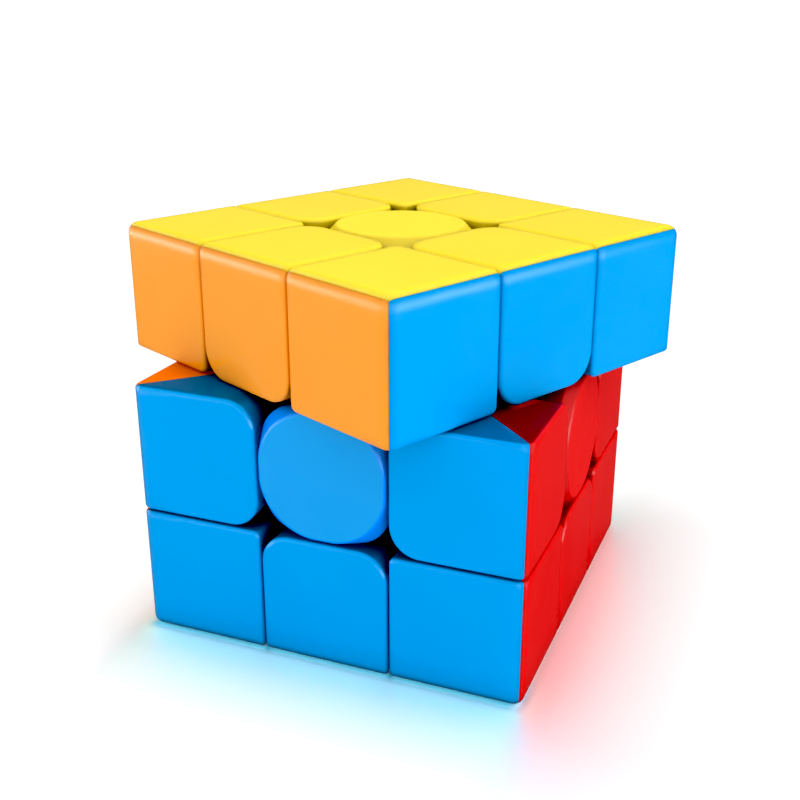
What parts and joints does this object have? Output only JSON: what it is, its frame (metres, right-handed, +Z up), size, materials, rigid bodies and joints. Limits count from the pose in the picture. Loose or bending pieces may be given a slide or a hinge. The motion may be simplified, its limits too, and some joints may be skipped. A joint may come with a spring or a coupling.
{
  "type": "twisty puzzle cube",
  "caption": "Stickerless twisty puzzle cube, upper layer part-turned; the upper and lower layers turn on sprung centres screwed to a six-arm core.",
  "frame": {"origin": "centre of the core, which is the middle of the cube", "axes": "+Z up through the part-turned upper layer, -Y out of the blue front face, +X out of the red right face"},
  "size_m": [0.0734, 0.0734, 0.056],
  "materials": {
    "yellow_plastic": "satin moulded ABS, coloured through",
    "white_plastic": "satin moulded ABS, coloured through",
    "blue_plastic": "satin moulded ABS, coloured through",
    "green_plastic": "satin moulded ABS, coloured through",
    "red_plastic": "satin moulded ABS, coloured through",
    "orange_plastic": "satin moulded ABS, coloured through",
    "hook_plastic": "fine matt moulded nylon, dark grey",
    "core_plastic": "fine matt moulded acetal, off-white",
    "zinc_steel": "bright zinc-plated steel"
  },
  "bodies": {
    "middle_and_core": {"back_left_edge_shell_green": "green_plastic", "back_left_edge_shell_orange": "orange_plastic", "back_right_edge_shell_green": "green_plastic", "back_right_edge_shell_red": "red_plastic", "centre_screws": "zinc_steel", "core": "core_plastic", "front_left_edge_shell_blue": "blue_plastic", "front_left_edge_shell_orange": "orange_plastic", "front_right_edge_shell_blue": "blue_plastic", "front_right_edge_shell_red": "red_plastic", "middle_edge_feet": "hook_plastic"},
    "upper_float": {"upper_spring": "zinc_steel", "upper_spring_seat": "zinc_steel"},
    "upper_layer": {"upper_centre_base": "yellow_plastic", "upper_centre_cap": "yellow_plastic", "upper_corner_feet": "hook_plastic", "upper_corner_shells_blue": "blue_plastic", "upper_corner_shells_green": "green_plastic", "upper_corner_shells_orange": "orange_plastic", "upper_corner_shells_red": "red_plastic", "upper_corner_shells_yellow": "yellow_plastic", "upper_edge_feet": "hook_plastic", "upper_edge_shell_blue": "blue_plastic", "upper_edge_shell_green": "green_plastic", "upper_edge_shell_orange": "orange_plastic", "upper_edge_shell_red": "red_plastic", "upper_edge_shells_yellow": "yellow_plastic"},
    "lower_float": {"lower_spring": "zinc_steel", "lower_spring_seat": "zinc_steel"},
    "lower_layer": {"lower_centre_base": "white_plastic", "lower_centre_cap": "white_plastic", "lower_corner_feet": "hook_plastic", "lower_corner_shells_blue": "blue_plastic", "lower_corner_shells_green": "green_plastic", "lower_corner_shells_orange": "orange_plastic", "lower_corner_shells_red": "red_plastic", "lower_corner_shells_white": "white_plastic", "lower_edge_feet": "hook_plastic", "lower_edge_shell_blue": "blue_plastic", "lower_edge_shell_green": "green_plastic", "lower_edge_shell_orange": "orange_plastic", "lower_edge_shell_red": "red_plastic", "lower_edge_shells_white": "white_plastic"},
    "front_centre": {"front_centre_base": "blue_plastic", "front_centre_cap": "blue_plastic", "front_spring": "zinc_steel", "front_spring_seat": "zinc_steel"},
    "right_centre": {"right_centre_base": "red_plastic", "right_centre_cap": "red_plastic", "right_spring": "zinc_steel", "right_spring_seat": "zinc_steel"},
    "back_centre": {"back_centre_base": "green_plastic", "back_centre_cap": "green_plastic", "back_spring": "zinc_steel", "back_spring_seat": "zinc_steel"},
    "left_centre": {"left_centre_base": "orange_plastic", "left_centre_cap": "orange_plastic", "left_spring": "zinc_steel", "left_spring_seat": "zinc_steel"}
  },
  "joints": [
    {"name": "upper_layer_float", "type": "slide", "parent": "middle_and_core", "child": "upper_float", "axis": [0, 0, 1], "range_m": [0, 0.0005], "stiffness_N_per_m": 1500, "deforming": ["upper_spring"]},
    {"name": "upper_layer_turn", "type": "hinge", "parent": "upper_float", "child": "upper_layer", "pos_m": [0, 0, 0], "axis": [0, 0, 1], "continuous": true},
    {"name": "lower_layer_float", "type": "slide", "parent": "middle_and_core", "child": "lower_float", "axis": [0, 0, -1], "range_m": [0, 0.0005], "stiffness_N_per_m": 1500, "deforming": ["lower_spring"]},
    {"name": "lower_layer_turn", "type": "hinge", "parent": "lower_float", "child": "lower_layer", "pos_m": [0, 0, 0], "axis": [0, 0, -1], "continuous": true},
    {"name": "front_centre_float", "type": "slide", "parent": "middle_and_core", "child": "front_centre", "axis": [0, -1, 0], "range_m": [0, 0.0005], "stiffness_N_per_m": 1500, "deforming": ["front_spring"]},
    {"name": "right_centre_float", "type": "slide", "parent": "middle_and_core", "child": "right_centre", "axis": [1, 0, 0], "range_m": [0, 0.0005], "stiffness_N_per_m": 1500, "deforming": ["right_spring"]},
    {"name": "back_centre_float", "type": "slide", "parent": "middle_and_core", "child": "back_centre", "axis": [0, 1, 0], "range_m": [0, 0.0005], "stiffness_N_per_m": 1500, "deforming": ["back_spring"]},
    {"name": "left_centre_float", "type": "slide", "parent": "middle_and_core", "child": "left_centre", "axis": [-1, 0, 0], "range_m": [0, 0.0005], "stiffness_N_per_m": 1500, "deforming": ["left_spring"]}
  ]
}
